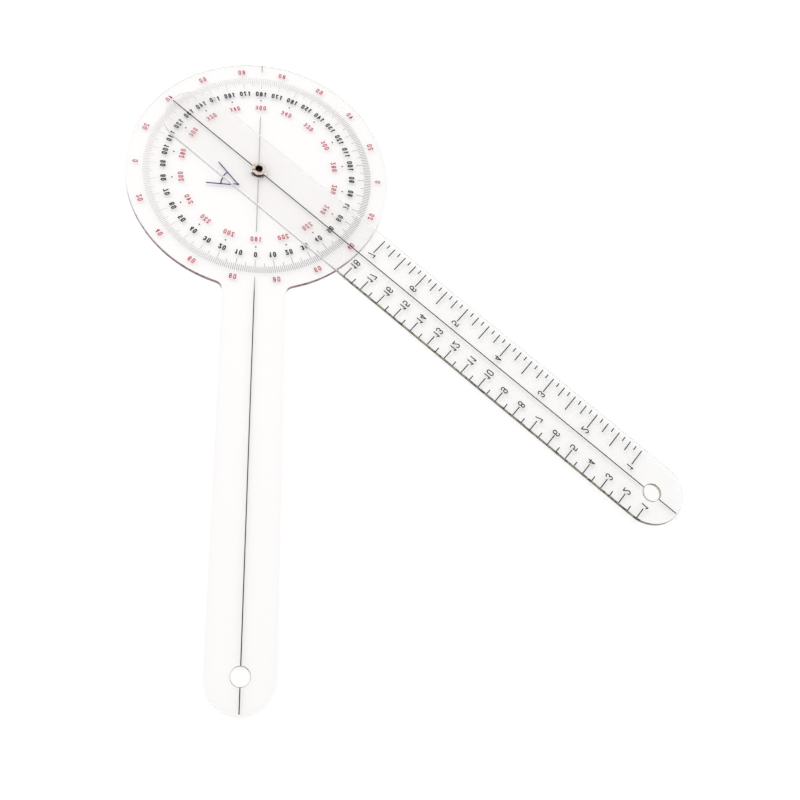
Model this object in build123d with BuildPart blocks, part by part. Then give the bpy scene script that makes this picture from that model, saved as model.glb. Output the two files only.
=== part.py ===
"""Clear plastic 360 degree goniometer, lying flat with its back uppermost.

A round protractor blade with an integral arm carries a ruler blade on a
semi-tubular rivet. All sizes are millimetres, +Z is up and the pivot is the
Z axis. The fixed arm runs along -Y, and the ruler blade rests turned away
from it towards +X. Both blades read correctly from below, so every scale is
laid out mirrored here. The print is modelled as thin ink layers: the degree
scales on the upper face of the protractor, the ruler scales on the lower
face of the ruler, so that the index line sits right over the degrees.
"""

import os

from build123d import *

INCH = 25.4

# Blades
blade_thickness = 2.0
blade_gap = 0.15
edge_round = 0.25

disc_radius = 62.5
fixed_arm_width = 29.4
fixed_arm_reach = 247.0
neck_fillet = 4.0

ruler_length = 12 * INCH
ruler_width = 30.0
ruler_tail_overlap = 1.6
rest_angle = 50.0

hang_hole_radius = 4.0
fixed_hole_inset = 14.7
ruler_hole_inset = 14.4

# Pivot rivet
shank_radius = 2.0
rivet_running_clearance = 0.05
rivet_bore_radius = 1.6
rivet_bore_floor = 1.6
head_radius = 3.4
head_thickness = 0.8
head_radial_clearance = 0.25
counterbore_depth = 1.0
rolled_end_radius = 3.45
rolled_end_height = 0.4
rolled_end_lift = 0.05

# Ink
ink_thickness = 0.02
fine_line = 0.45
bold_line = 0.5
line_clearance = 0.15

# Degree scales on the protractor, as distances in from the disc's rim
tick_ring_inset = 8.1
black_inset = 17.5
dot_inset = 21.5
inner_red_inset = 25.7
outer_red_inset = 4.7
tick_lengths = {1: 3.2, 5: 4.9, 10: 6.4}
tick_line = 0.17
dot_size = 0.4

# Fixed index line: how far its parts keep from the rim, the degree ring and the numerals
line_rim_margin = 0.4
line_rim_length = 4.0
line_ring_gap = 2.1
line_top_gap = 5.1
line_bottom_gap = 3.8
line_rivet_gap = 0.6

# Ruler scales, measured from the ruler's tip and its edges
scale_zero_inset = 3.3
inch_edge_margin = 1.3
inch_tick_lengths = {8: 8.7, 4: 8.7, 2: 5.4, 1: 2.4}
centimetre_edge_margin = 0.4
centimetre_tick_length = 6.0
half_centimetre_tick_length = 3.0
ruler_tick_line = 0.5
numeral_gap = 1.5

# Numerals
black_height = 2.1
black_stroke = 0.58
inner_red_height = 2.05
outer_red_height = 2.15
red_stroke = 0.42
ruler_numeral_height = 3.2
ruler_numeral_stroke = 0.5

# Half width and pitch of a digit, as shares of its height
narrow_digit = (0.2, 0.94)
wide_digit = (0.25, 0.74)

# Angle symbol beside the pivot
symbol_centre = (-17.0, -1.0)
symbol_leg = 15.0
symbol_angle = 50.0
symbol_arc_radius = 8.0
symbol_line = 0.6

ruler_underside = blade_thickness + blade_gap
ruler_topside = ruler_underside + blade_thickness
tick_ring_radius = disc_radius - tick_ring_inset
ruler_tail = tick_ring_radius + ruler_tail_overlap
ruler_tip = ruler_length - ruler_tail
ruler_turn = rest_angle - 90.0
black_colour = Color(0.05, 0.05, 0.05)
red_colour = Color(0.75, 0.2, 0.25)
blue_colour = Color(0.15, 0.15, 0.55)
clear_colour = Color(0.9, 0.92, 0.93, 0.5)
steel_colour = Color(0.45, 0.38, 0.3)


def ruler_plane(height):
    """Plane of the ruler blade at a height, with its X axis towards the ruler's tip."""
    return Plane.XY.offset(height).rotated((0, 0, ruler_turn))


# --------------------------------------------------------------------------
# Digits
# --------------------------------------------------------------------------


def digit_loop(middle, half, rise):
    """Centre line of an upright loop with round ends, for use inside a BuildLine."""
    straight = rise - half
    Line((-half, middle - straight), (-half, middle + straight))
    ThreePointArc((-half, middle + straight), (0, middle + rise), (half, middle + straight))
    Line((half, middle + straight), (half, middle - straight))
    ThreePointArc((half, middle - straight), (0, middle - rise), (-half, middle - straight))


def digit_outline(character, half):
    """Centre lines of one digit, one unit high and twice half wide, centred on the origin."""
    with BuildLine() as outline:
        if character == "0":
            digit_loop(0, half, 0.5)
        elif character == "1":
            Polyline((-half * 0.8, 0.28), (half * 0.2, 0.5), (half * 0.2, -0.5))
        elif character == "2":
            ThreePointArc((-half, 0.28), (0, 0.5), (half * 0.92, 0.12))
            Polyline((half * 0.92, 0.12), (-half, -0.5), (half, -0.5))
        elif character == "3":
            ThreePointArc((-half, 0.34), (half * 0.9, 0.3), (0, 0.04))
            ThreePointArc((0, 0.04), (half, -0.26), (-half, -0.34))
        elif character == "4":
            Polyline((half * 0.45, -0.5), (half * 0.45, 0.5), (-half, -0.2), (half * 1.1, -0.2))
        elif character == "5":
            Polyline((half * 0.9, 0.5), (-half * 0.8, 0.5), (-half * 0.9, 0.05))
            ThreePointArc((-half * 0.9, 0.05), (half, -0.18), (-half, -0.38))
        elif character == "6":
            digit_loop(-0.22, half, 0.28)
            Line((-half, -0.22), (-half, 0.22))
            ThreePointArc((-half, 0.22), (0, 0.5), (half * 0.9, 0.32))
        elif character == "7":
            Polyline((-half, 0.5), (half, 0.5), (-half * 0.3, -0.5))
        elif character == "8":
            digit_loop(0.255, half * 0.92, 0.245)
            digit_loop(-0.22, half, 0.28)
        elif character == "9":
            digit_loop(0.22, half, 0.28)
            Line((half, 0.22), (half, -0.22))
            ThreePointArc((half, -0.22), (0, -0.5), (-half * 0.9, -0.32))
    return outline.line


def digit_face(character, height, stroke, half):
    """One digit as a flat face, mirrored so that it reads from below."""
    outline = digit_outline(character, half)
    with BuildSketch() as digit:
        for edge in outline.edges():
            trace(edge, stroke / height)
        with Locations([tuple(vertex) for vertex in outline.vertices()]):
            Circle(stroke / height / 2)
        scale(by=height)
        mirror(about=Plane.YZ, mode=Mode.REPLACE)
    return digit.sketch


def numerals(labels, height, stroke, proportions):
    """All numbers of one scale as flat faces, from pairs of text and location.

    Each number is centred on its location. The proportions are a digit's half width and
    its pitch, as shares of its height.
    """
    half, pitch = proportions
    used = sorted(set("".join(text for text, location in labels)))
    digits = {character: digit_face(character, height, stroke, half) for character in used}
    faces = []
    for text, location in labels:
        for index, character in enumerate(text):
            across = ((len(text) - 1) / 2 - index) * pitch * height
            faces.extend(digits[character].moved(location * Location((across, 0, 0))).faces())
    return faces


def around(angle, radius, outward=True):
    """Location on a degree ring, with digit tops pointing away from or to the pivot.

    The angle counts from the fixed arm and grows towards +X.
    """
    turn = angle + 180.0 if outward else angle
    return Location((0, 0, 0), (0, 0, angle)) * Location((0, -radius, 0), (0, 0, turn - angle))


def both_ways(step, first, last):
    """Angles from the fixed arm to each side, with how far round each one is."""
    pairs = []
    for reading in range(first, last + 1, step):
        pairs.append((reading, reading))
        if reading not in (0, 180):
            pairs.append((-reading, reading))
    return pairs


def tick_angles(kind):
    """Degrees that carry a tick of one kind: every tenth, the fives between, and the rest."""
    if kind == 10:
        return list(range(0, 360, 10))
    if kind == 5:
        return list(range(5, 360, 10))
    return [degree for degree in range(360) if degree % 5]


def inch_tick_length(eighth):
    """Length of the tick at a number of eighths from the scale's zero."""
    for divisor, length in inch_tick_lengths.items():
        if eighth % divisor == 0:
            return length
    return 0.0


# --------------------------------------------------------------------------
# Protractor blade: a disc with an arm, a hang hole and a counterbored pivot hole
# --------------------------------------------------------------------------

head_recess_radius = head_radius + head_radial_clearance
arm_end_radius = fixed_arm_width / 2
fixed_hole_y = -(fixed_arm_reach - fixed_hole_inset)

with BuildPart() as protractor_blade:
    with BuildSketch():
        Circle(disc_radius)
        with Locations((0, -(fixed_arm_reach - arm_end_radius) / 2)):
            Rectangle(fixed_arm_width, fixed_arm_reach - arm_end_radius)
        with Locations((0, -(fixed_arm_reach - arm_end_radius))):
            Circle(arm_end_radius)
    extrude(amount=blade_thickness)
    neck_edges = protractor_blade.edges().filter_by(Axis.Z)
    neck_edges = [edge for edge in neck_edges if -disc_radius < edge.center().Y < -disc_radius / 2]
    fillet(neck_edges, radius=neck_fillet)
    rim_edges = protractor_blade.faces().filter_by(Axis.Z).edges()
    fillet(rim_edges, radius=edge_round)
    with Locations((0, fixed_hole_y)):
        Hole(hang_hole_radius)
    with Locations(Plane.XY.rotated((180, 0, 0))):
        CounterBoreHole(shank_radius, head_recess_radius, counterbore_depth)
protractor_blade.part.label = "protractor_blade"
protractor_blade.part.color = clear_colour

# --------------------------------------------------------------------------
# Ruler blade: a round-ended strip with a pivot hole and a hang hole
# --------------------------------------------------------------------------

with BuildPart() as ruler_blade:
    with BuildSketch(ruler_plane(ruler_underside)):
        with Locations((ruler_tip - ruler_length / 2, 0)):
            SlotOverall(ruler_length, ruler_width)
    extrude(amount=blade_thickness)
    fillet(ruler_blade.faces().filter_by(Axis.Z).edges(), radius=edge_round)
    with BuildSketch(ruler_plane(ruler_underside)):
        Circle(shank_radius + rivet_running_clearance)
        with Locations((ruler_tip - ruler_hole_inset, 0)):
            Circle(hang_hole_radius)
    extrude(amount=blade_thickness, mode=Mode.SUBTRACT)
ruler_blade.part.label = "ruler_blade"
ruler_blade.part.color = clear_colour

# --------------------------------------------------------------------------
# Pivot rivet: flat head sunk under the protractor, hollow end rolled over the ruler
# --------------------------------------------------------------------------

rolled_end_foot = ruler_topside + rolled_end_lift

with BuildPart() as pivot_rivet:
    with BuildSketch(Plane.XY.offset(counterbore_depth - head_thickness)):
        Circle(head_radius)
    extrude(amount=head_thickness)
    with BuildSketch(Plane.XY.offset(counterbore_depth)):
        Circle(shank_radius)
    extrude(amount=rolled_end_foot - counterbore_depth)
    with BuildSketch(Plane.XY.offset(rolled_end_foot)):
        Circle(rolled_end_radius)
    extrude(amount=rolled_end_height)
    crown = pivot_rivet.faces().sort_by(Axis.Z)[-1]
    fillet(crown.edges(), radius=rolled_end_height * 0.7)
    with BuildSketch(Plane.XY.offset(rivet_bore_floor)):
        Circle(rivet_bore_radius)
    extrude(amount=rolled_end_foot + rolled_end_height, mode=Mode.SUBTRACT)
    mouth = pivot_rivet.edges().filter_by(GeomType.CIRCLE).group_by(Axis.Z)[-1]
    fillet(mouth.sort_by(SortBy.RADIUS)[0], radius=rolled_end_height * 0.4)
pivot_rivet.part.label = "pivot_rivet"
pivot_rivet.part.color = steel_colour

# --------------------------------------------------------------------------
# Ink on the protractor
# --------------------------------------------------------------------------

protractor_ink = Plane.XY.offset(blade_thickness)

inner_red_radius = disc_radius - inner_red_inset
line_start = head_recess_radius + line_rivet_gap
line_spans = [
    (disc_radius - line_rim_margin - line_rim_length, disc_radius - line_rim_margin),
    (line_start, inner_red_radius - line_top_gap),
    (-(inner_red_radius - line_bottom_gap), -line_start),
    (fixed_hole_y + hang_hole_radius, -(tick_ring_radius + line_ring_gap)),
    (-(fixed_arm_reach - line_rim_margin), fixed_hole_y - hang_hole_radius),
]

with BuildPart() as fixed_index_line:
    with BuildSketch(protractor_ink):
        for low, high in line_spans:
            with Locations((0, (low + high) / 2)):
                Rectangle(fine_line, high - low - 2 * line_clearance)
    extrude(amount=ink_thickness)
fixed_index_line.part.label = "fixed_index_line"
fixed_index_line.part.color = black_colour


with BuildPart() as degree_ticks:
    with BuildSketch(protractor_ink):
        for kind, length in tick_lengths.items():
            turns = [Location((0, 0, 0), (0, 0, degree)) for degree in tick_angles(kind)]
            places = [turn * Location((0, -(tick_ring_radius - length / 2), 0)) for turn in turns]
            with Locations(places):
                Rectangle(tick_line, length)
    extrude(amount=ink_thickness)
degree_ticks.part.label = "degree_ticks"
degree_ticks.part.color = black_colour

black_radius = disc_radius - black_inset
black_labels = [
    (str(reading), around(angle, black_radius)) for angle, reading in both_ways(10, 0, 180)
]
black_faces = numerals(black_labels, black_height, black_stroke, narrow_digit)
with BuildPart() as black_degree_numerals:
    with BuildSketch(protractor_ink):
        add(black_faces)
    extrude(amount=ink_thickness, dir=(0, 0, 1))
black_degree_numerals.part.label = "black_degree_numerals"
black_degree_numerals.part.color = black_colour

inner_labels = [
    (str(180 + reading), around(angle, inner_red_radius, outward=False))
    for angle, reading in both_ways(20, 0, 180)
]
inner_faces = numerals(inner_labels, inner_red_height, red_stroke, narrow_digit)
with BuildPart() as inner_red_numerals:
    with BuildSketch(protractor_ink):
        add(inner_faces)
    extrude(amount=ink_thickness, dir=(0, 0, 1))
inner_red_numerals.part.label = "inner_red_numerals"
inner_red_numerals.part.color = red_colour

outer_red_radius = disc_radius - outer_red_inset
outer_labels = []
for side in (-1, 1):
    for reading in (0, 20, 40, 60, 80):
        outer_labels.append((str(reading), around(side * (90 - reading), outer_red_radius)))
    for reading in (20, 40, 60, 80):
        outer_labels.append((str(reading), around(side * (90 + reading), outer_red_radius)))
outer_faces = numerals(outer_labels, outer_red_height, red_stroke, narrow_digit)
with BuildPart() as outer_red_numerals:
    with BuildSketch(protractor_ink):
        add(outer_faces)
    extrude(amount=ink_thickness, dir=(0, 0, 1))
outer_red_numerals.part.label = "outer_red_numerals"
outer_red_numerals.part.color = red_colour

with BuildPart() as twenty_degree_dots:
    with BuildSketch(protractor_ink):
        with PolarLocations(disc_radius - dot_inset, 18, start_angle=-90):
            Circle(dot_size)
    extrude(amount=ink_thickness)
twenty_degree_dots.part.label = "twenty_degree_dots"
twenty_degree_dots.part.color = red_colour

symbol_vertex = (symbol_centre[0] + symbol_leg / 2, symbol_centre[1] - symbol_leg / 2)
with BuildPart() as angle_symbol:
    with BuildSketch(protractor_ink) as symbol:
        with Locations(symbol_vertex):
            with Locations((-symbol_leg / 2, 0)):
                Rectangle(symbol_leg, symbol_line)
            with Locations(Location((0, 0, 0), (0, 0, -symbol_angle))):
                with Locations((-symbol_leg / 2, 0)):
                    Rectangle(symbol_leg, symbol_line)
            Circle(symbol_line)
        with BuildLine():
            CenterArc(symbol_vertex, symbol_arc_radius, 180 - symbol_angle, symbol_angle)
        trace(line_width=symbol_line)
    extrude(amount=ink_thickness)
angle_symbol.part.label = "angle_symbol"
angle_symbol.part.color = blue_colour

# --------------------------------------------------------------------------
# Ink on the ruler, laid out with X towards the tip and the inch side at +Y
# --------------------------------------------------------------------------

ruler_ink = ruler_plane(ruler_underside - ink_thickness)
scale_zero = ruler_tip - scale_zero_inset
last_inch = int((scale_zero - disc_radius) / INCH)
last_centimetre = int((scale_zero - disc_radius) / 10)
ruler_edge = ruler_width / 2
hang_hole_x = ruler_tip - ruler_hole_inset

ruler_line_spans = [
    (-(ruler_tail - line_rim_margin), -shank_radius - rivet_running_clearance),
    (shank_radius + rivet_running_clearance, hang_hole_x - hang_hole_radius),
    (hang_hole_x + hang_hole_radius, ruler_tip - line_rim_margin),
]
with BuildPart() as ruler_index_line:
    with BuildSketch(ruler_ink):
        for low, high in ruler_line_spans:
            with Locations(((low + high) / 2, 0)):
                Rectangle(high - low - 2 * line_clearance, bold_line)
    extrude(amount=ink_thickness)
ruler_index_line.part.label = "ruler_index_line"
ruler_index_line.part.color = black_colour

with BuildPart() as inch_ticks:
    with BuildSketch(ruler_ink):
        for eighth in range(8, 8 * last_inch + 1):
            length = inch_tick_length(eighth)
            across = ruler_edge - inch_edge_margin - length / 2
            with Locations((scale_zero - eighth * INCH / 8, across)):
                Rectangle(ruler_tick_line, length)
    extrude(amount=ink_thickness)
inch_ticks.part.label = "inch_ticks"
inch_ticks.part.color = black_colour

with BuildPart() as centimetre_ticks:
    with BuildSketch(ruler_ink):
        for half in range(2, 2 * last_centimetre + 1):
            length = half_centimetre_tick_length if half % 2 else centimetre_tick_length
            across = -(ruler_edge - centimetre_edge_margin - length / 2)
            with Locations((scale_zero - half * 5.0, across)):
                Rectangle(ruler_tick_line, length)
    extrude(amount=ink_thickness)
centimetre_ticks.part.label = "centimetre_ticks"
centimetre_ticks.part.color = black_colour

inch_numeral_y = ruler_edge - inch_edge_margin - inch_tick_lengths[8] - numeral_gap
inch_labels = [
    (str(inch), Location((scale_zero - inch * INCH, inch_numeral_y, 0), (0, 0, -90)))
    for inch in range(1, last_inch + 1)
]
inch_faces = numerals(inch_labels, ruler_numeral_height, ruler_numeral_stroke, wide_digit)
with BuildPart() as inch_numerals:
    with BuildSketch(ruler_ink):
        add(inch_faces)
    extrude(amount=ink_thickness, dir=(0, 0, 1))
inch_numerals.part.label = "inch_numerals"
inch_numerals.part.color = black_colour

centimetre_numeral_y = -(ruler_edge - centimetre_edge_margin - centimetre_tick_length - numeral_gap)
digit_step = wide_digit[1] * ruler_numeral_height
centimetre_labels = []
for centimetre in range(1, last_centimetre + 1):
    text = str(centimetre)
    across = centimetre_numeral_y + (len(text) - 1) * digit_step / 2
    place = Location((scale_zero - centimetre * 10.0, across, 0), (0, 0, -90))
    centimetre_labels.append((text, place))
centimetre_faces = numerals(
    centimetre_labels, ruler_numeral_height, ruler_numeral_stroke, wide_digit
)
with BuildPart() as centimetre_numerals:
    with BuildSketch(ruler_ink):
        add(centimetre_faces)
    extrude(amount=ink_thickness, dir=(0, 0, 1))
centimetre_numerals.part.label = "centimetre_numerals"
centimetre_numerals.part.color = black_colour

# --------------------------------------------------------------------------
# Files
# --------------------------------------------------------------------------

os.makedirs("parts", exist_ok=True)
export_step(protractor_blade.part, "parts/protractor_blade.step")
export_step(ruler_blade.part, "parts/ruler_blade.step")
export_step(pivot_rivet.part, "parts/pivot_rivet.step")
export_step(fixed_index_line.part, "parts/fixed_index_line.step")
export_step(degree_ticks.part, "parts/degree_ticks.step")
export_step(black_degree_numerals.part, "parts/black_degree_numerals.step")
export_step(inner_red_numerals.part, "parts/inner_red_numerals.step")
export_step(outer_red_numerals.part, "parts/outer_red_numerals.step")
export_step(twenty_degree_dots.part, "parts/twenty_degree_dots.step")
export_step(angle_symbol.part, "parts/angle_symbol.step")
export_step(ruler_index_line.part, "parts/ruler_index_line.step")
export_step(inch_ticks.part, "parts/inch_ticks.step")
export_step(inch_numerals.part, "parts/inch_numerals.step")
export_step(centimetre_ticks.part, "parts/centimetre_ticks.step")
export_step(centimetre_numerals.part, "parts/centimetre_numerals.step")
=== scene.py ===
"""Looks of a clear plastic goniometer that lies flat with its back uppermost.

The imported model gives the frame. Its printed layers stay as they are and get an ink finish, and
the two blades and the pivot rivet are modelled again with finer edges and take the places of
their plain solids. Everything is in metres, with the pivot as the Z axis.
"""

import logging
import math
from dataclasses import dataclass, field
from enum import Enum

import bmesh
import bpy
from mathutils import Matrix, Vector


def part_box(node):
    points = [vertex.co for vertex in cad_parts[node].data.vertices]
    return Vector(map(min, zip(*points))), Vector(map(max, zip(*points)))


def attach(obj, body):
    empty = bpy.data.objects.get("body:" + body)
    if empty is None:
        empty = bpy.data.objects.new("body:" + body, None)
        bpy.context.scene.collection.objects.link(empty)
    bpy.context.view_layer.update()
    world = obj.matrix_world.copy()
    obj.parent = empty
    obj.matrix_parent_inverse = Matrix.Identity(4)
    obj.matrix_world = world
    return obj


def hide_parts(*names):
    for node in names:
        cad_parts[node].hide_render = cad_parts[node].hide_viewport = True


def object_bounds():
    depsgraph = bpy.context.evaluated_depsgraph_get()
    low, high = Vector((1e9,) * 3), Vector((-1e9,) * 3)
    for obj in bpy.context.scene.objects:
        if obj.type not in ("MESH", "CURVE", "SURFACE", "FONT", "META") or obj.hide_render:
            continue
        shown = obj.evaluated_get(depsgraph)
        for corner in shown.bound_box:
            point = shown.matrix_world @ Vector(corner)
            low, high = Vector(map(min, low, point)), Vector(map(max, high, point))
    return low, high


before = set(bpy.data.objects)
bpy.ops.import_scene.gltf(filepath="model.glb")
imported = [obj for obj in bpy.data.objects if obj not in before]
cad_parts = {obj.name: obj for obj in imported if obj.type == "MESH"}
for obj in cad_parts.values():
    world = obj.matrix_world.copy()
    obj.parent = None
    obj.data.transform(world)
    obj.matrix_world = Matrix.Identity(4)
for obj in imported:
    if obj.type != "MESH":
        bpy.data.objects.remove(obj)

MM = 0.001
WELD = 1e-7
FLOOR_GAP = 0.1 * MM
CAD_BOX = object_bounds()

# Places of the materials on a blade, and on the rivet.
ON_SHEET, ON_EDGE, ON_HOLE = range(3)
ON_OUTSIDE, ON_PAINTED_SHADE = range(2)

# Limits and a direction with which a zone takes in everything.
ALL_FROM, ALL_TO = -1.0, -0.5
UPWARD = (0.0, 0.0, 1.0)

log = logging.getLogger("goniometer")


class Body(Enum):
    """The two rigid bodies of the instrument."""

    PROTRACTOR = "protractor"
    RULER = "ruler"


class Slot(Enum):
    """The record's material slots."""

    CLEAR = "clear_acrylic"
    METAL = "rivet_metal"
    BLACK = "black_ink"
    RED = "red_ink"
    BLUE = "blue_ink"


class Finish(Enum):
    """The finishes that the pieces wear."""

    SHEET = "clear sheet"
    PROTRACTOR_EDGE = "protractor edge"
    RULER_EDGE = "ruler edge"
    HOLE_EDGE = "hole edge"
    BLACK = "black ink"
    FINE_BLACK = "fine black ink"
    INDEX_LINE = "index line ink"
    RED = "red ink"
    DARK_RED = "dark red ink"
    BLUE = "blue ink"
    SHADED_METAL = "metal in painted shade"
    WARM_METAL = "warm metal"


# ------------------------------------------------------------------------------
# Shader node groups
# ------------------------------------------------------------------------------


class GroupBuilder:
    """Makes one shader node group with named inputs and outputs."""

    def __init__(self, name: str) -> None:
        """Starts an empty group.

        Args:
            name: The group's name.
        """
        self.tree = bpy.data.node_groups.new(name, "ShaderNodeTree")
        self.entry = self.tree.nodes.new("NodeGroupInput")
        self.exit = self.tree.nodes.new("NodeGroupOutput")

    def input(self, name: str, kind: str, value: float | tuple) -> None:
        """Adds an input socket.

        Args:
            name: The socket's name.
            kind: The socket's type, such as NodeSocketFloat.
            value: Its default value.
        """
        socket = self.tree.interface.new_socket(name=name, in_out="INPUT", socket_type=kind)
        socket.default_value = value

    def output(self, name: str, kind: str) -> None:
        """Adds an output socket.

        Args:
            name: The socket's name.
            kind: The socket's type.
        """
        self.tree.interface.new_socket(name=name, in_out="OUTPUT", socket_type=kind)

    def node(self, kind: str, **settings: object) -> bpy.types.Node:
        """Adds a node to the group.

        Args:
            kind: The node's type.
            **settings: Attributes to set on it.

        Returns:
            The new node.
        """
        made = self.tree.nodes.new(kind)
        for name, value in settings.items():
            setattr(made, name, value)
        return made

    def link(self, source: bpy.types.NodeSocket, target: bpy.types.NodeSocket) -> None:
        """Joins two sockets of the group."""
        self.tree.links.new(source, target)


def handling_marks_group() -> bpy.types.ShaderNodeTree:
    """Fine scratches and smears from handling.

    Returns:
        A group that puts out a roughness and a height that change over the surface.
    """
    group = GroupBuilder("handling_marks")
    group.input("Base Roughness", "NodeSocketFloat", 0.03)
    group.input("Smear", "NodeSocketFloat", 0.05)
    group.input("Scratch", "NodeSocketFloat", 0.3)
    group.output("Roughness", "NodeSocketFloat")
    group.output("Height", "NodeSocketFloat")
    place = group.node("ShaderNodeTexCoord")
    smear = group.node("ShaderNodeTexNoise")
    smear.inputs["Scale"].default_value = 38.0
    smear.inputs["Detail"].default_value = 3.0
    group.link(place.outputs["Object"], smear.inputs["Vector"])
    amount = group.node("ShaderNodeMath", operation="MULTIPLY")
    group.link(smear.outputs["Fac"], amount.inputs[0])
    group.link(group.entry.outputs["Smear"], amount.inputs[1])
    total = group.node("ShaderNodeMath", operation="ADD")
    group.link(amount.outputs[0], total.inputs[0])
    group.link(group.entry.outputs["Base Roughness"], total.inputs[1])
    group.link(total.outputs[0], group.exit.inputs["Roughness"])
    stretch = group.node("ShaderNodeMapping")
    stretch.inputs["Rotation"].default_value = (0.0, 0.0, math.radians(33))
    stretch.inputs["Scale"].default_value = (40.0, 900.0, 40.0)
    group.link(place.outputs["Object"], stretch.inputs["Vector"])
    lines = group.node("ShaderNodeTexNoise")
    lines.inputs["Scale"].default_value = 1.0
    lines.inputs["Detail"].default_value = 2.0
    group.link(stretch.outputs["Vector"], lines.inputs["Vector"])
    ramp = group.node("ShaderNodeMapRange")
    ramp.inputs["From Min"].default_value = 0.68
    ramp.inputs["From Max"].default_value = 0.8
    group.link(lines.outputs["Fac"], ramp.inputs["Value"])
    depth = group.node("ShaderNodeMath", operation="MULTIPLY")
    group.link(ramp.outputs["Result"], depth.inputs[0])
    group.link(group.entry.outputs["Scratch"], depth.inputs[1])
    group.link(depth.outputs[0], group.exit.inputs["Height"])
    return group.tree


def mottle_group() -> bpy.types.ShaderNodeTree:
    """Uneven cover, as of thin ink or dulled metal.

    Returns:
        A group that puts out a mask from 0 to 1 that changes over the surface.
    """
    group = GroupBuilder("mottle")
    group.input("Scale", "NodeSocketFloat", 900.0)
    group.input("Low", "NodeSocketFloat", 0.45)
    group.input("High", "NodeSocketFloat", 0.75)
    group.output("Mask", "NodeSocketFloat")
    place = group.node("ShaderNodeTexCoord")
    spots = group.node("ShaderNodeTexNoise")
    spots.inputs["Detail"].default_value = 4.0
    group.link(place.outputs["Object"], spots.inputs["Vector"])
    group.link(group.entry.outputs["Scale"], spots.inputs["Scale"])
    ramp = group.node("ShaderNodeMapRange", interpolation_type="SMOOTHSTEP")
    group.link(spots.outputs["Fac"], ramp.inputs["Value"])
    group.link(group.entry.outputs["Low"], ramp.inputs["From Min"])
    group.link(group.entry.outputs["High"], ramp.inputs["From Max"])
    group.link(ramp.outputs["Result"], group.exit.inputs["Mask"])
    return group.tree


def radius_side_zone_group() -> bpy.types.ShaderNodeTree:
    """A zone over a span of radii from the pivot, and on one side of it, where an edge gets
    painted shade and where print is drawn paler.

    Returns:
        A group that puts out a mask from 0 to 1 that changes over the surface.
    """
    group = GroupBuilder("radius_side_zone")
    group.input("Radius From", "NodeSocketFloat", 0.0)
    group.input("Radius To", "NodeSocketFloat", 1.0)
    group.input("Lean", "NodeSocketVector", (1.0, 0.0, 0.0))
    group.input("Lean From", "NodeSocketFloat", 0.0)
    group.input("Lean To", "NodeSocketFloat", 1.0)
    group.output("Mask", "NodeSocketFloat")
    place = group.node("ShaderNodeTexCoord")
    flat = group.node("ShaderNodeVectorMath", operation="MULTIPLY")
    flat.inputs[1].default_value = (1.0, 1.0, 0.0)
    group.link(place.outputs["Object"], flat.inputs[0])
    radius = group.node("ShaderNodeVectorMath", operation="LENGTH")
    group.link(flat.outputs["Vector"], radius.inputs[0])
    side = group.node("ShaderNodeVectorMath", operation="DOT_PRODUCT")
    group.link(flat.outputs["Vector"], side.inputs[0])
    group.link(group.entry.outputs["Lean"], side.inputs[1])
    masks = []
    for source, name in ((radius, "Radius"), (side, "Lean")):
        ramp = group.node("ShaderNodeMapRange", interpolation_type="SMOOTHSTEP")
        group.link(source.outputs["Value"], ramp.inputs["Value"])
        group.link(group.entry.outputs[f"{name} From"], ramp.inputs["From Min"])
        group.link(group.entry.outputs[f"{name} To"], ramp.inputs["From Max"])
        masks.append(ramp.outputs["Result"])
    both = group.node("ShaderNodeMath", operation="MULTIPLY")
    group.link(masks[0], both.inputs[0])
    group.link(masks[1], both.inputs[1])
    group.link(both.outputs[0], group.exit.inputs["Mask"])
    return group.tree


# ------------------------------------------------------------------------------
# Finishes
# ------------------------------------------------------------------------------


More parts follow.
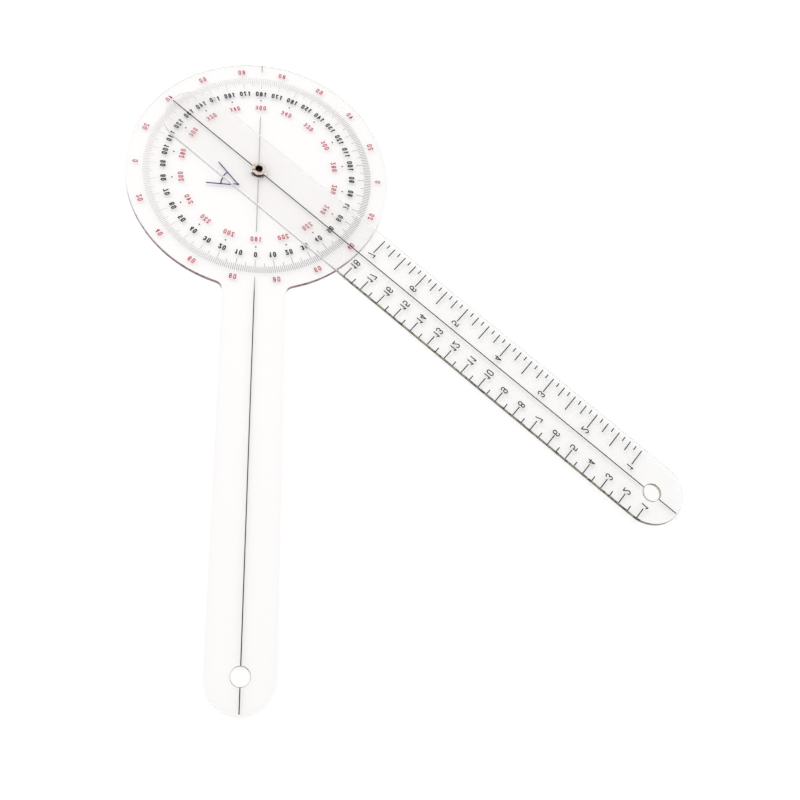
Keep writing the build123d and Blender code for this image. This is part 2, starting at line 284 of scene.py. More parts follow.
class Shader:
    """A material under construction, with short calls for its nodes."""

    def __init__(self, name: str) -> None:
        """Starts a material with one Principled BSDF.

        Args:
            name: The material's name.
        """
        self.material = bpy.data.materials.new(name)
        self.material.use_nodes = True
        self.tree = self.material.node_tree
        self.surface = self.tree.nodes["Principled BSDF"]
        self.result = self.tree.nodes["Material Output"]

    def node(self, kind: str, **settings: object) -> bpy.types.Node:
        """Adds a node to the material.

        Args:
            kind: The node's type.
            **settings: Attributes to set on it.

        Returns:
            The new node.
        """
        made = self.tree.nodes.new(kind)
        for name, value in settings.items():
            setattr(made, name, value)
        return made

    def group(self, tree: bpy.types.ShaderNodeTree, **values: float) -> bpy.types.Node:
        """Places a node group in the material.

        Args:
            tree: The group's tree.
            **values: Input values, with underscores for the blanks of their names.

        Returns:
            The group's node.
        """
        made = self.node("ShaderNodeGroup")
        made.node_tree = tree
        for name, value in values.items():
            made.inputs[name.replace("_", " ")].default_value = value
        return made

    def set(self, **values: object) -> None:
        """Sets plain values on the Principled BSDF, with underscores for blanks."""
        for name, value in values.items():
            self.surface.inputs[name.replace("_", " ")].default_value = value

    def link(self, source: bpy.types.NodeSocket, target: bpy.types.NodeSocket) -> None:
        """Joins two sockets of the material."""
        self.tree.links.new(source, target)

    def bump(self, height: bpy.types.NodeSocket, distance: float, strength: float) -> None:
        """Feeds a height to the surface's normal.

        Args:
            height: The socket with the height.
            distance: The bump's depth in metres.
            strength: The bump's strength.
        """
        made = self.node("ShaderNodeBump")
        made.inputs["Distance"].default_value = distance
        made.inputs["Strength"].default_value = strength
        self.link(height, made.inputs["Height"])
        self.link(made.outputs["Normal"], self.surface.inputs["Normal"])

    def mix(
        self,
        mask: bpy.types.NodeSocket,
        low: bpy.types.NodeSocket | tuple,
        high: bpy.types.NodeSocket | tuple,
    ) -> bpy.types.NodeSocket:
        """Mixes two colours.

        Args:
            mask: The socket that says how much of the second colour shows.
            low: The colour, or the socket with it, where the mask is 0.
            high: The colour, or the socket with it, where the mask is 1.

        Returns:
            The socket with the mixed colour.
        """
        made = self.node("ShaderNodeMix", data_type="RGBA")
        self.link(mask, made.inputs["Factor"])
        for end, colour in (("A", low), ("B", high)):
            socket = next(s for s in made.inputs if s.name == end and s.type == "RGBA")
            if isinstance(colour, tuple):
                socket.default_value = colour
            else:
                self.link(colour, socket)
        return next(s for s in made.outputs if s.type == "RGBA")

    def let_light_through(self, tint: tuple) -> None:
        """Lets the light that falls on things pass straight through, a little dimmed.

        Args:
            tint: What is left of the light after one surface.
        """
        path = self.node("ShaderNodeLightPath")
        clear = self.node("ShaderNodeBsdfTransparent")
        clear.inputs["Color"].default_value = tint
        both = self.node("ShaderNodeMixShader")
        falling = self.node("ShaderNodeMath", operation="MAXIMUM")
        self.link(path.outputs["Is Shadow Ray"], falling.inputs[0])
        self.link(path.outputs["Is Diffuse Ray"], falling.inputs[1])
        self.link(falling.outputs[0], both.inputs["Fac"])
        self.link(self.surface.outputs["BSDF"], both.inputs[1])
        self.link(clear.outputs["BSDF"], both.inputs[2])
        self.link(both.outputs["Shader"], self.result.inputs["Surface"])


@dataclass(frozen=True)
class ClearPlastic:
    """Polished clear acrylic sheet."""

    name: str
    tint: tuple[float, float, float, float]
    lamp_tint: tuple[float, float, float, float]
    ior: float = 1.49

    def build(self, marks: bpy.types.ShaderNodeTree) -> bpy.types.Material:
        """Makes the material.

        Args:
            marks: The group with the handling marks.

        Returns:
            The finished material.
        """
        shader = Shader(self.name)
        shader.set(Base_Color=self.tint, IOR=self.ior, Transmission_Weight=1.0)
        worn = shader.group(marks, Base_Roughness=0.0, Smear=0.012, Scratch=0.25)
        shader.link(worn.outputs["Roughness"], shader.surface.inputs["Roughness"])
        shader.bump(worn.outputs["Height"], 0.00002, 0.15)
        shader.let_light_through(self.lamp_tint)
        return shader.material


@dataclass(frozen=True)
class MouldedEdge:
    """The narrow wall round a clear blade, drawn dark and tinted as painted shade over a zone,
    with darker painted spots in it.
    """

    name: str
    clean: tuple[float, float, float, float]
    painted_shade: tuple[float, float, float, float]
    painted_dark_spots: tuple[float, float, float, float]
    radius_from: float
    radius_to: float
    lean: tuple[float, float, float]
    lean_from: float
    lean_to: float
    spot_scale: float = 420.0
    spot_low: float = 0.5
    spot_high: float = 0.62
    transmission: float = 0.35

    def build(
        self,
        zone: bpy.types.ShaderNodeTree,
        mottle: bpy.types.ShaderNodeTree,
        marks: bpy.types.ShaderNodeTree,
    ) -> bpy.types.Material:
        """Makes the material.

        Args:
            zone: The group that says where the edge gets its painted shade.
            mottle: The group with the spots.
            marks: The group with the handling marks.

        Returns:
            The finished material.
        """
        shader = Shader(self.name)
        shader.set(IOR=1.49, Transmission_Weight=self.transmission)
        where = shader.group(
            zone,
            Radius_From=self.radius_from,
            Radius_To=self.radius_to,
            Lean=self.lean,
            Lean_From=self.lean_from,
            Lean_To=self.lean_to,
        )
        spots = shader.group(
            mottle, Scale=self.spot_scale, Low=self.spot_low, High=self.spot_high
        )
        # Painted shade: inside the zone the edge takes the shade colour, and the spots there
        # darken it further.
        shade_colour = shader.mix(where.outputs["Mask"], self.clean, self.painted_shade)
        spotted_zone = shader.node("ShaderNodeMath", operation="MULTIPLY")
        shader.link(where.outputs["Mask"], spotted_zone.inputs[0])
        shader.link(spots.outputs["Mask"], spotted_zone.inputs[1])
        full = shader.mix(spotted_zone.outputs[0], shade_colour, self.painted_dark_spots)
        shader.link(full, shader.surface.inputs["Base Color"])
        worn = shader.group(marks, Base_Roughness=0.22, Smear=0.2, Scratch=0.4)
        shader.link(worn.outputs["Roughness"], shader.surface.inputs["Roughness"])
        shader.bump(spots.outputs["Mask"], 0.00002, 0.3)
        shader.let_light_through((0.9, 0.9, 0.9, 1.0))
        return shader.material


@dataclass(frozen=True)
class PrintedInk:
    """Screen-printed ink with slightly uneven cover."""

    name: str
    colour: tuple[float, float, float, float]
    thin_colour: tuple[float, float, float, float]
    pale_zone_colour: tuple[float, float, float, float] | None = None
    radius_from: float = ALL_FROM
    radius_to: float = ALL_TO
    lean: tuple[float, float, float] = (-0.8, 0.6, 0.0)
    lean_from: float = -50.0 * MM
    lean_to: float = 35.0 * MM
    roughness: float = 0.45

    def build(
        self, zone: bpy.types.ShaderNodeTree, mottle: bpy.types.ShaderNodeTree
    ) -> bpy.types.Material:
        """Makes the material.

        Args:
            zone: The group that says where the print is drawn paler.
            mottle: The group with the uneven cover.

        Returns:
            The finished material.
        """
        shader = Shader(self.name)
        shader.set(Roughness=self.roughness, IOR=1.45)
        cover = shader.group(mottle, Scale=1400.0, Low=0.5, High=0.8)
        colour = shader.mix(cover.outputs["Mask"], self.colour, self.thin_colour)
        if self.pale_zone_colour:
            side = shader.group(
                zone,
                Radius_From=self.radius_from,
                Radius_To=self.radius_to,
                Lean=self.lean,
                Lean_From=self.lean_from,
                Lean_To=self.lean_to,
            )
            colour = shader.mix(side.outputs["Mask"], colour, self.pale_zone_colour)
        shader.link(colour, shader.surface.inputs["Base Color"])
        shader.bump(cover.outputs["Mask"], 0.00001, 0.2)
        return shader.material


@dataclass(frozen=True)
class DulledMetal:
    """Plated rivet metal, dulled and darkened in patches."""

    name: str
    bright: tuple[float, float, float, float]
    dull: tuple[float, float, float, float]
    base_roughness: float
    low: float
    high: float
    metallic: float = 1.0

    def build(
        self, mottle: bpy.types.ShaderNodeTree, marks: bpy.types.ShaderNodeTree
    ) -> bpy.types.Material:
        """Makes the material.

        Args:
            mottle: The group with the tarnish patches.
            marks: The group with the handling marks.

        Returns:
            The finished material.
        """
        shader = Shader(self.name)
        shader.set(Metallic=self.metallic)
        patches = shader.group(mottle, Scale=700.0, Low=self.low, High=self.high)
        colour = shader.mix(patches.outputs["Mask"], self.bright, self.dull)
        shader.link(colour, shader.surface.inputs["Base Color"])
        worn = shader.group(marks, Base_Roughness=self.base_roughness, Smear=0.2, Scratch=0.5)
        shader.link(worn.outputs["Roughness"], shader.surface.inputs["Roughness"])
        shader.bump(patches.outputs["Mask"], 0.00002, 0.3)
        return shader.material


class Finishes:
    """Every material of the instrument, made once and handed out by finish."""

    def __init__(self) -> None:
        """Makes the shared groups and all materials."""
        marks = handling_marks_group()
        mottle = mottle_group()
        zone = radius_side_zone_group()
        self.materials: dict[Finish, bpy.types.Material] = {
            Finish.SHEET: ClearPlastic(
                "clear_acrylic_sheet", (0.98, 0.976, 0.974, 1.0), (0.978, 0.973, 0.971, 1.0)
            ).build(marks),
            # Painted shade: the disc's rim is drawn dark purplish-brown on its side towards -Y,
            # with near-black painted spots; the arm's edges keep the plain colour.
            Finish.PROTRACTOR_EDGE: MouldedEdge(
                "protractor_edge",
                clean=(0.96, 0.955, 0.95, 1.0),
                painted_shade=(0.3, 0.17, 0.2, 1.0),
                painted_dark_spots=(0.06, 0.03, 0.04, 1.0),
                radius_from=66.0 * MM,
                radius_to=62.8 * MM,
                lean=(-0.1, -0.99, 0.0),
                lean_from=0.0,
                lean_to=52.0 * MM,
            ).build(zone, mottle, marks),
            # Painted shade: beyond the disc, one long edge of the ruler is drawn dark
            # olive-brown, with near-black painted spots that stand in for reflections of the
            # ticks in the edge.
            Finish.RULER_EDGE: MouldedEdge(
                "ruler_edge",
                clean=(0.97, 0.97, 0.965, 1.0),
                painted_shade=(0.28, 0.24, 0.16, 1.0),
                painted_dark_spots=(0.012, 0.01, 0.008, 1.0),
                radius_from=56.0 * MM,
                radius_to=72.0 * MM,
                lean=(-0.643, -0.766, 0.0),
                lean_from=-5.0 * MM,
                lean_to=10.0 * MM,
                spot_scale=520.0,
                spot_low=0.48,
                spot_high=0.58,
            ).build(zone, mottle, marks),
            # Painted shade: the hang holes' walls are drawn brownish-dark all round, with darker
            # painted spots.
            Finish.HOLE_EDGE: MouldedEdge(
                "hole_edge",
                clean=(0.75, 0.73, 0.7, 1.0),
                painted_shade=(0.4, 0.33, 0.22, 1.0),
                painted_dark_spots=(0.12, 0.09, 0.06, 1.0),
                radius_from=10.0 * MM,
                radius_to=30.0 * MM,
                lean=UPWARD,
                lean_from=ALL_FROM,
                lean_to=ALL_TO,
            ).build(zone, mottle, marks),
            Finish.BLACK: PrintedInk(
                "black_ink", (0.004, 0.004, 0.005, 1.0), (0.015, 0.014, 0.014, 1.0)
            ).build(zone, mottle),
            # Painted shade: the ticks keep dark ink towards +X and -Y and are drawn paler towards
            # -X and +Y, standing in for the ticks' shadows on the table seen beside them.
            Finish.FINE_BLACK: PrintedInk(
                "fine_black_ink",
                (0.03, 0.022, 0.018, 1.0),
                (0.1, 0.08, 0.07, 1.0),
                pale_zone_colour=(0.55, 0.48, 0.48, 1.0),
            ).build(zone, mottle),
            # The index line is drawn paler within about 58 mm of the pivot.
            Finish.INDEX_LINE: PrintedInk(
                "index_line_ink",
                (0.012, 0.011, 0.01, 1.0),
                (0.03, 0.028, 0.026, 1.0),
                pale_zone_colour=(0.4, 0.39, 0.38, 1.0),
                radius_from=66.0 * MM,
                radius_to=58.0 * MM,
                lean=UPWARD,
                lean_from=ALL_FROM,
                lean_to=ALL_TO,
            ).build(zone, mottle),
            Finish.RED: PrintedInk(
                "red_ink", (0.42, 0.012, 0.045, 1.0), (0.6, 0.06, 0.11, 1.0)
            ).build(zone, mottle),
            Finish.DARK_RED: PrintedInk(
                "dark_red_ink", (0.16, 0.01, 0.03, 1.0), (0.25, 0.03, 0.06, 1.0)
            ).build(zone, mottle),
            Finish.BLUE: PrintedInk(
                "blue_ink", (0.012, 0.01, 0.11, 1.0), (0.04, 0.035, 0.2, 1.0)
            ).build(zone, mottle),
            # Painted shade: a darkened metal for the rivet's bore and the faces under its rolled
            # end.
            Finish.SHADED_METAL: DulledMetal(
                "rivet_metal_in_painted_shade",
                (0.12, 0.06, 0.03, 1.0),
                (0.012, 0.007, 0.004, 1.0),
                0.35,
                0.3,
                0.55,
            ).build(mottle, marks),
            Finish.WARM_METAL: DulledMetal(
                "rivet_warm_metal",
                (0.66, 0.58, 0.52, 1.0),
                (0.2, 0.12, 0.08, 1.0),
                0.35,
                0.45,
                0.7,
                metallic=0.3,
            ).build(mottle, marks),
        }
        log.info("made %d materials", len(self.materials))

    def dress(self, piece: bpy.types.Object, *finishes: Finish) -> None:
        """Gives a piece its materials, in the order of its material slots.

        Args:
            piece: The piece.
            *finishes: Its finishes.
        """
        slots = piece.data.materials
        for index, finish in enumerate(finishes):
            if index < len(slots):
                slots[index] = self.materials[finish]
            else:
                slots.append(self.materials[finish])


# ------------------------------------------------------------------------------
# Mesh helpers
# ------------------------------------------------------------------------------


class Pen:
    """Draws one wire in a bmesh, point after point."""

    def __init__(self, mesh: bmesh.types.BMesh, start: tuple[float, float, float]) -> None:
        """Puts the pen down.

        Args:
            mesh: The bmesh to draw in.
            start: The wire's first point.
        """
        self.mesh = mesh
        self.verts = [mesh.verts.new(start)]

    def line_to(self, point: tuple[float, float, float]) -> None:
        """Draws a straight run to a point."""
        made = bmesh.ops.extrude_vert_indiv(self.mesh, verts=[self.verts[-1]])["verts"][0]
        made.co = point
        self.verts.append(made)

    def turn(
        self,
        centre: tuple[float, float, float],
        angle: float,
        steps: int,
        axis: tuple[float, float, float] = (0.0, 0.0, 1.0),
    ) -> None:
        """Draws an arc from where the pen is.

        Args:
            centre: A point on the arc's axis.
            angle: How far it turns, in radians, positive to the left.
            steps: The number of edges.
            axis: The arc's axis.
        """
        bmesh.ops.spin(
            self.mesh,
            geom=[self.verts[-1]],
            cent=centre,
            axis=axis,
            angle=angle,
            steps=steps,
            use_merge=False,
        )
        for _ in range(steps):
            here = self.verts[-1]
            known = set(self.verts[-2:])
            ahead = [edge.other_vert(here) for edge in here.link_edges]
            self.verts.append(next(vert for vert in ahead if vert not in known))

    def close(self) -> list[bmesh.types.BMEdge]:
        """Joins the end to the start.

        Returns:
            The closed wire's edges.
        """
        first, last = self.verts[0], self.verts[-1]
        if (first.co - last.co).length < WELD:
            bmesh.ops.weld_verts(self.mesh, targetmap={last: first})
            self.verts.pop()
        else:
            self.mesh.edges.new((last, first))
        return wire_edges(self.verts)


def wire_edges(verts: list[bmesh.types.BMVert]) -> list[bmesh.types.BMEdge]:
    """The edges that join neighbours in a closed ring of vertices.

    Args:
        verts: The ring's vertices.

    Returns:
        Its edges.
    """
    ring = set(verts)
    edges = [edge for vert in verts for edge in vert.link_edges if edge.other_vert(vert) in ring]
    return list(dict.fromkeys(edges))


def hole_wall(
    mesh: bmesh.types.BMesh,
    centre: tuple[float, float],
    stations: list[tuple[float, float]],
    steps: int,
    material: int,
) -> tuple[list[bmesh.types.BMEdge], list[bmesh.types.BMEdge]]:
    """Makes the wall of a round hole by drawing a circle up through its stations.

    Args:
        mesh: The bmesh to add to.
        centre: The hole's centre seen from above.
        stations: Pairs of radius and height from the bottom to the top.
        steps: The number of edges round the hole.
        material: The wall's material slot.

    Returns:
        The edges of the lowest and of the highest circle.
    """
    radius, height = stations[0]
    place = Matrix.Translation((*centre, height))
    made = bmesh.ops.create_circle(mesh, segments=steps, radius=radius, matrix=place)
    first = ring = wire_edges(made["verts"])
    about = Matrix.Translation((-centre[0], -centre[1], 0.0))
    for next_radius, next_height in stations[1:]:
        made = bmesh.ops.extrude_edge_only(mesh, edges=ring)["geom"]
        verts = [item for item in made if isinstance(item, bmesh.types.BMVert)]
        for face in (item for item in made if isinstance(item, bmesh.types.BMFace)):
            face.smooth = True
            face.material_index = material
        factor = next_radius / radius
        bmesh.ops.scale(mesh, vec=(factor, factor, 1.0), space=about, verts=verts)
        bmesh.ops.translate(mesh, vec=(0.0, 0.0, next_height - height), verts=verts)
        radius, height = next_radius, next_height
        ring = wire_edges(verts)
    return first, ring


def bridge(
    mesh: bmesh.types.BMesh, rings: list[list[bmesh.types.BMEdge]], material: int
) -> None:
    """Makes a smooth wall through rings that follow each other.

    Args:
        mesh: The bmesh that holds them.
        rings: The rings in order.
        material: The wall's material slot.
    """
    for low, high in zip(rings, rings[1:]):
        made = bmesh.ops.bridge_loops(mesh, edges=low + high)
        for face in made["faces"]:
            face.smooth = True
            face.material_index = material


def fill(mesh: bmesh.types.BMesh, edges: list[bmesh.types.BMEdge], material: int) -> None:
    """Fills a flat outline with holes.

    Args:
        mesh: The bmesh that holds it.
        edges: The edges of the outline and of its holes.
        material: The face's material slot.
    """
    made = bmesh.ops.triangle_fill(mesh, edges=edges, use_beauty=True, use_dissolve=False)
    for item in made["geom"]:
        if isinstance(item, bmesh.types.BMFace):
            item.smooth = False
            item.material_index = material


def rim_stations(
    low: float, high: float, rounding: float, steps: int
) -> list[tuple[float, float]]:
    """Where a wall with two rounded rims passes.

    Args:
        low: The wall's lowest height.
        high: Its highest.
        rounding: The rims' radius.
        steps: The number of steps round each rim.

    Returns:
        Pairs of inset and height from the bottom to the top.
    """
    turns = [math.pi / 2 * step / steps for step in range(steps + 1)]
    inset = [rounding * (1 - math.sin(turn)) for turn in turns]
    rise = [rounding * (1 - math.cos(turn)) for turn in turns]
    bottom = [(back, low + up) for back, up in zip(inset, rise)]
    top = [(back, high - up) for back, up in zip(inset, rise)]
    return bottom + top[::-1]


def add_piece(name: str, mesh: bmesh.types.BMesh, body: Body) -> bpy.types.Object:
    """Turns a finished bmesh into a piece that rides on a body.

    Args:
        name: The piece's name.
        mesh: The bmesh, with the piece in its place.
        body: The body that it moves with.

    Returns:
        The new object, at the origin.
    """
    bmesh.ops.recalc_face_normals(mesh, faces=mesh.faces)
    loose = sum(1 for edge in mesh.edges if len(edge.link_faces) != 2)
    data = bpy.data.meshes.new(name)
    mesh.to_mesh(data)
    mesh.free()
    piece = bpy.data.objects.new(name, data)
    bpy.context.scene.collection.objects.link(piece)
    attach(piece, body.value)
    log.info("%s: %d faces, %d open edges, on %s", name, len(data.polygons), loose, body.value)
    return piece


# ------------------------------------------------------------------------------
# Blades
# ------------------------------------------------------------------------------


@dataclass
class Blade:
    """A flat clear blade with rounded rims and a hang hole."""

    node: str
    body: Body
    edge: Finish
    rounding: float = 0.25 * MM
    hole_radius: float = 4.0 * MM
    hole_rounding: float = 0.12 * MM
    hole_steps: int = 64
    rim_steps: int = 3

    def __post_init__(self) -> None:
        """Reads the blade's heights from its plain solid."""
        low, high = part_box(self.node)
        self.low, self.high = low.z, high.z

    def outline(
        self, mesh: bmesh.types.BMesh, inset: float, height: float
    ) -> list[bmesh.types.BMEdge]:
        """Draws the blade's outline, drawn in by an inset, at a height."""
        raise NotImplementedError

    def hang_hole(self) -> tuple[float, float]:
        """The hang hole's centre seen from above."""
        raise NotImplementedError

    def pivot_stations(self) -> list[tuple[float, float]]:
        """Pairs of radius and height up the pivot hole's wall."""
        raise NotImplementedError

    def shape(self) -> bmesh.types.BMesh:
        """Makes the blade's mesh.

        Returns:
            The mesh, with sheet, edge and hole faces in that order of material slots.
        """
        mesh = bmesh.new()
        stations = rim_stations(self.low, self.high, self.rounding, self.rim_steps)
        rim = [self.outline(mesh, inset, height) for inset, height in stations]
        bridge(mesh, rim, ON_EDGE)
        stations = [
            (self.hole_radius + inset, height)
            for inset, height in rim_stations(
                self.low, self.high, self.hole_rounding, self.rim_steps
            )
        ]
        hang = hole_wall(mesh, self.hang_hole(), stations, self.hole_steps, ON_HOLE)
        pivot = hole_wall(
            mesh, (0.0, 0.0), self.pivot_stations(), self.hole_steps, ON_SHEET
        )
        for end in (0, -1):
            fill(mesh, rim[end] + hang[end] + pivot[end], ON_SHEET)
        return mesh

    def build(self, finishes: Finishes) -> None:
        """Makes the blade and dresses it.

        Args:
            finishes: The materials.
        """
        piece = add_piece(f"{self.node}_sheet", self.shape(), self.body)
        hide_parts(self.node)
        finishes.dress(piece, Finish.SHEET, self.edge, Finish.HOLE_EDGE)


@dataclass
class ProtractorBlade(Blade):
    """A full-circle protractor with an integral arm."""

    node: str = "protractor_blade"
    body: Body = Body.PROTRACTOR
    edge: Finish = Finish.PROTRACTOR_EDGE
    arm_half_width: float = 14.7 * MM
    neck_fillet: float = 4.0 * MM
    hole_inset: float = 14.7 * MM
    shank_radius: float = 2.0 * MM
    recess_radius: float = 3.65 * MM
    recess_depth: float = 1.0 * MM
    disc_steps: int = 420
    neck_steps: int = 12
    end_steps: int = 72

    def __post_init__(self) -> None:
        """Reads the disc's radius and the arm's reach from the plain solid."""
        super().__post_init__()
        low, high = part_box(self.node)
        self.disc_radius = high.y
        self.reach = -low.y

    def outline(
        self, mesh: bmesh.types.BMesh, inset: float, height: float
    ) -> list[bmesh.types.BMEdge]:
        """Draws the disc, the two necks and the arm's round end.

        Args:
            mesh: The bmesh to draw in.
            inset: How far the outline is drawn in.
            height: Its height.

        Returns:
            The outline's edges.
        """
        neck_x = self.arm_half_width + self.neck_fillet
        lean = math.asin(neck_x / (self.disc_radius + self.neck_fillet))
        neck_y = -(self.disc_radius + self.neck_fillet) * math.cos(lean)
        disc = self.disc_radius - inset
        side = self.arm_half_width - inset
        end_y = -(self.reach - self.arm_half_width)
        neck_turn = -(math.pi / 2 - lean)
        pen = Pen(mesh, (disc * math.sin(lean), -disc * math.cos(lean), height))
        pen.turn((0, 0, 0), 2 * (math.pi - lean), self.disc_steps)
        pen.turn((-neck_x, neck_y, 0), neck_turn, self.neck_steps)
        pen.line_to((-side, end_y, height))
        pen.turn((0, end_y, 0), math.pi, self.end_steps)
        pen.line_to((side, neck_y, height))
        pen.turn((neck_x, neck_y, 0), neck_turn, self.neck_steps)
        return pen.close()

    def hang_hole(self) -> tuple[float, float]:
        """The hang hole's centre seen from above."""
        return (0.0, -(self.reach - self.hole_inset))

    def pivot_stations(self) -> list[tuple[float, float]]:
        """Radii and heights up the recess for the rivet's head and the shank's hole."""
        floor = self.low + self.recess_depth
        return [
            (self.recess_radius, self.low),
            (self.recess_radius, floor),
            (self.shank_radius, floor),
            (self.shank_radius, self.high),
        ]


@dataclass
class RulerBlade(Blade):
    """A round-ended ruler that turns over the protractor."""

    node: str = "ruler_blade"
    body: Body = Body.RULER
    edge: Finish = Finish.RULER_EDGE
    half_width: float = 15.0 * MM
    tail: float = 56.0 * MM
    turned: float = math.radians(-40.0)
    hole_inset: float = 14.4 * MM
    pivot_radius: float = 2.05 * MM
    end_steps: int = 90

    def __post_init__(self) -> None:
        """Reads how far the tip reaches from the plain solid."""
        super().__post_init__()
        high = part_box(self.node)[1]
        self.tip = (high.x - self.half_width) / math.cos(self.turned) + self.half_width

    def outline(
        self, mesh: bmesh.types.BMesh, inset: float, height: float
    ) -> list[bmesh.types.BMEdge]:
        """Draws the ruler's outline along X.

        Args:
            mesh: The bmesh to draw in.
            inset: How far the outline is drawn in.
            height: Its height.

        Returns:
            The outline's edges.
        """
        side = self.half_width - inset
        tip_x = self.tip - self.half_width
        tail_x = self.half_width - self.tail
        pen = Pen(mesh, (tip_x, -side, height))
        pen.turn((tip_x, 0, 0), math.pi, self.end_steps)
        pen.line_to((tail_x, side, height))
        pen.turn((tail_x, 0, 0), math.pi, self.end_steps)
        return pen.close()

    def hang_hole(self) -> tuple[float, float]:
        """The hang hole's centre seen from above."""
        return (self.tip - self.hole_inset, 0.0)

    def pivot_stations(self) -> list[tuple[float, float]]:
        """Radii and heights up the hole for the rivet's shank."""
        return [(self.pivot_radius, self.low), (self.pivot_radius, self.high)]

    def shape(self) -> bmesh.types.BMesh:
        """Makes the mesh along X and turns it to its place of rest."""
        mesh = super().shape()
        turn = Matrix.Rotation(self.turned, 3, "Z")
        bmesh.ops.rotate(mesh, cent=(0, 0, 0), matrix=turn, verts=mesh.verts)
        return mesh


# ------------------------------------------------------------------------------
# Pivot rivet
# ------------------------------------------------------------------------------


@dataclass
class PivotRivet:
    """A semi-tubular rivet: a low head below and a hollow end rolled over the ruler."""

    node: str = "pivot_rivet"
    head_radius: float = 3.4 * MM
    head_top: float = 0.98 * MM
    head_bevel: float = 0.3 * MM
    shank_radius: float = 1.98 * MM
    roll_radius: float = 3.45 * MM
    roll_foot: float = 4.2 * MM
    bore_radius: float = 1.6 * MM
    mouth: float = 0.5 * MM
    bore_floor: float = 1.75 * MM
    bore_point: float = 0.15 * MM
    steps: int = 96
    bevel_steps: int = 4
    curl_steps: int = 10

    def shape(self) -> bmesh.types.BMesh:
        """Turns the rivet's half section about the pivot.

        Returns:
            The mesh, with warm metal outside, and metal drawn dark as painted shade in the bore
            and under the roll.
        """
        low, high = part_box(self.node)
        mesh = bmesh.new()
        across = (0.0, 1.0, 0.0)
        pen = Pen(mesh, (0.0, 0.0, low.z))
        pen.line_to((self.head_radius - self.head_bevel, 0.0, low.z))
        pen.turn(
            (self.head_radius - self.head_bevel, 0.0, low.z + self.head_bevel),
            -math.pi / 2,
            self.bevel_steps,
            across,
        )
        pen.line_to((self.head_radius, 0.0, self.head_top - self.head_bevel / 2))
        pen.line_to((self.head_radius - self.head_bevel / 2, 0.0, self.head_top))
        pen.line_to((self.shank_radius, 0.0, self.head_top))
        pen.line_to((self.shank_radius, 0.0, self.roll_foot))
        curl = (high.z - self.roll_foot) / 2
        middle = self.roll_foot + curl
        pen.line_to((self.roll_radius - curl, 0.0, self.roll_foot))
        for _ in range(2):
            pen.turn(
                (self.roll_radius - curl, 0.0, middle), -math.pi / 2, self.curl_steps, across
            )
        lip = self.bore_radius + curl
        pen.line_to((lip, 0.0, high.z))
        pen.turn((lip, 0.0, middle), -math.pi / 2, self.curl_steps, across)
        pen.line_to((self.bore_radius, 0.0, self.bore_floor))
        pen.line_to((0.0, 0.0, self.bore_floor - self.bore_point))
        bmesh.ops.spin(
            mesh,
            geom=mesh.verts[:] + mesh.edges[:],
            cent=(0, 0, 0),
            axis=(0, 0, 1),
            angle=2 * math.pi,
            steps=self.steps,
            use_merge=True,
        )
        bmesh.ops.remove_doubles(mesh, verts=mesh.verts, dist=WELD)
        for face in mesh.faces:
            face.smooth = True
            place = face.calc_center_median()
            # Painted shade: faces in the bore, on its lip out to the mouth, and under the rolled
            # end take the darkened metal.
            inside = place.xy.length < self.bore_radius + self.mouth
            under = place.z < self.roll_foot + curl / 2
            dark = place.z > self.head_top and (inside or under)
            face.material_index = ON_PAINTED_SHADE if dark else ON_OUTSIDE
        return mesh

    def build(self, finishes: Finishes) -> None:
        """Makes the rivet and dresses it.

        Args:
            finishes: The materials.
        """
        piece = add_piece("semi_tubular_rivet", self.shape(), Body.PROTRACTOR)
        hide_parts(self.node)
        finishes.dress(piece, Finish.WARM_METAL, Finish.SHADED_METAL)


# ------------------------------------------------------------------------------
# Print
# ------------------------------------------------------------------------------


@dataclass
class PrintedScales:
    """The printed layers of both blades, which keep their shapes."""

    finishes_by_node: dict[str, Finish] = field(
        default_factory=lambda: {
            "fixed_index_line": Finish.INDEX_LINE,
            "degree_ticks": Finish.FINE_BLACK,
            "black_degree_numerals": Finish.BLACK,
            "inner_red_numerals": Finish.RED,
            "outer_red_numerals": Finish.RED,
            "twenty_degree_dots": Finish.DARK_RED,
            "angle_symbol": Finish.BLUE,
            "ruler_index_line": Finish.BLACK,
            "inch_ticks": Finish.BLACK,
            "inch_numerals": Finish.BLACK,
            "centimetre_ticks": Finish.BLACK,
            "centimetre_numerals": Finish.BLACK,
        }
    )

    def build(self, finishes: Finishes) -> None:
        """Dresses every printed layer.

        Args:
            finishes: The materials.
        """
        for node, finish in self.finishes_by_node.items():
            finishes.dress(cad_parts[node], finish)
            log.info("%s: dressed as %s", node, finish.value)


# ------------------------------------------------------------------------------
# Studio
# ------------------------------------------------------------------------------


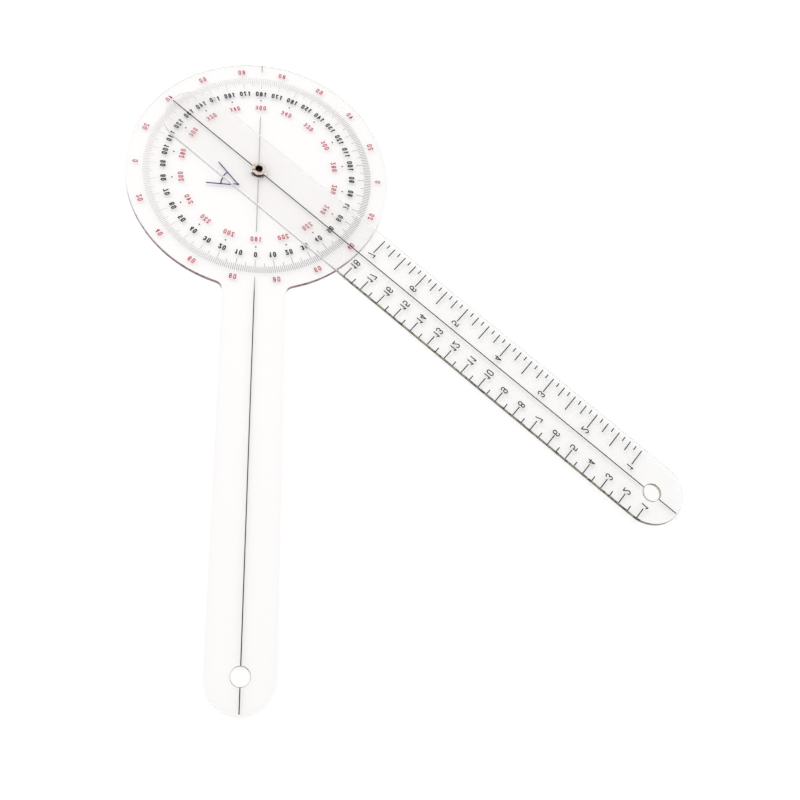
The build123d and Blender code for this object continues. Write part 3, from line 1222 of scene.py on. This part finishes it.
@dataclass
class Studio:
    """A white table under a white sky, one soft lamp, and the camera."""

    floor_reach: float = 3.0
    floor_colour: tuple[float, float, float, float] = (0.9, 0.9, 0.9, 1.0)
    sky_strength: float = 0.98
    lamp_size: float = 0.8
    lamp_power: float = 3.0
    lamp_place: tuple[float, float, float] = (-0.35, 0.25, 0.9)
    lamp_aim: tuple[float, float, float] = (0.05, -0.08, 0.0)
    camera_place: tuple[float, float, float] = (-0.03306, -0.2955, 0.45988)
    camera_aim: tuple[float, float, float] = (0.04987, -0.07932, 0.0)
    camera_roll: float = math.radians(22.736)
    camera_lens: float = 50.837
    camera_shift: tuple[float, float] = (0.0473, -0.0859)

    def build(self) -> None:
        """Makes the floor, the lights and the camera."""
        self.lay_floor()
        self.light()
        self.aim_camera()
        bpy.context.scene.view_settings.view_transform = "Standard"
        log.info("studio is set")

    def lay_floor(self) -> None:
        """Lays the plain table top just below the lower blade."""
        mesh = bmesh.new()
        bmesh.ops.create_grid(mesh, x_segments=1, y_segments=1, size=self.floor_reach)
        bmesh.ops.translate(mesh, verts=mesh.verts, vec=(0.0, 0.0, CAD_BOX[0].z - FLOOR_GAP))
        data = bpy.data.meshes.new("floor")
        mesh.to_mesh(data)
        mesh.free()
        floor = bpy.data.objects.new("floor", data)
        bpy.context.scene.collection.objects.link(floor)
        shader = Shader("white_table")
        shader.set(Base_Color=self.floor_colour, Roughness=0.9, Specular_IOR_Level=0.0)
        data.materials.append(shader.material)

    def light(self) -> None:
        """Hangs the lamp and paints the sky."""
        world = bpy.data.worlds.new("studio")
        world.use_nodes = True
        background = world.node_tree.nodes["Background"]
        background.inputs["Color"].default_value = (1.0, 1.0, 1.0, 1.0)
        background.inputs["Strength"].default_value = self.sky_strength
        bpy.context.scene.world = world
        lamp = bpy.data.lights.new("overhead", "AREA")
        lamp.size = self.lamp_size
        lamp.energy = self.lamp_power
        holder = bpy.data.objects.new("overhead", lamp)
        holder.location = self.lamp_place
        holder.visible_glossy = False
        holder.visible_transmission = False
        line = Vector(self.lamp_aim) - holder.location
        holder.rotation_euler = line.to_track_quat("-Z", "Y").to_euler()
        bpy.context.scene.collection.objects.link(holder)

    def aim_camera(self) -> None:
        """Places the camera and makes it the scene's."""
        lens = bpy.data.cameras.new("camera")
        lens.lens = self.camera_lens
        lens.shift_x, lens.shift_y = self.camera_shift
        lens.clip_start = 0.01
        lens.clip_end = 10.0
        camera = bpy.data.objects.new("camera", lens)
        bpy.context.scene.collection.objects.link(camera)
        camera.location = self.camera_place
        line = Vector(self.camera_aim) - camera.location
        roll = Matrix.Rotation(self.camera_roll, 4, "Z").to_quaternion()
        camera.rotation_mode = "QUATERNION"
        camera.rotation_quaternion = line.to_track_quat("-Z", "Y") @ roll
        bpy.context.scene.camera = camera


def main() -> None:
    """Builds the instrument and its studio in order."""
    logging.basicConfig(level=logging.INFO, format="%(name)s: %(message)s")
    finishes = Finishes()
    for assembly in (ProtractorBlade(), RulerBlade(), PivotRivet(), PrintedScales()):
        assembly.build(finishes)
        log.info("built %s", type(assembly).__name__)
    Studio().build()


if __name__ == "__main__":
    main()
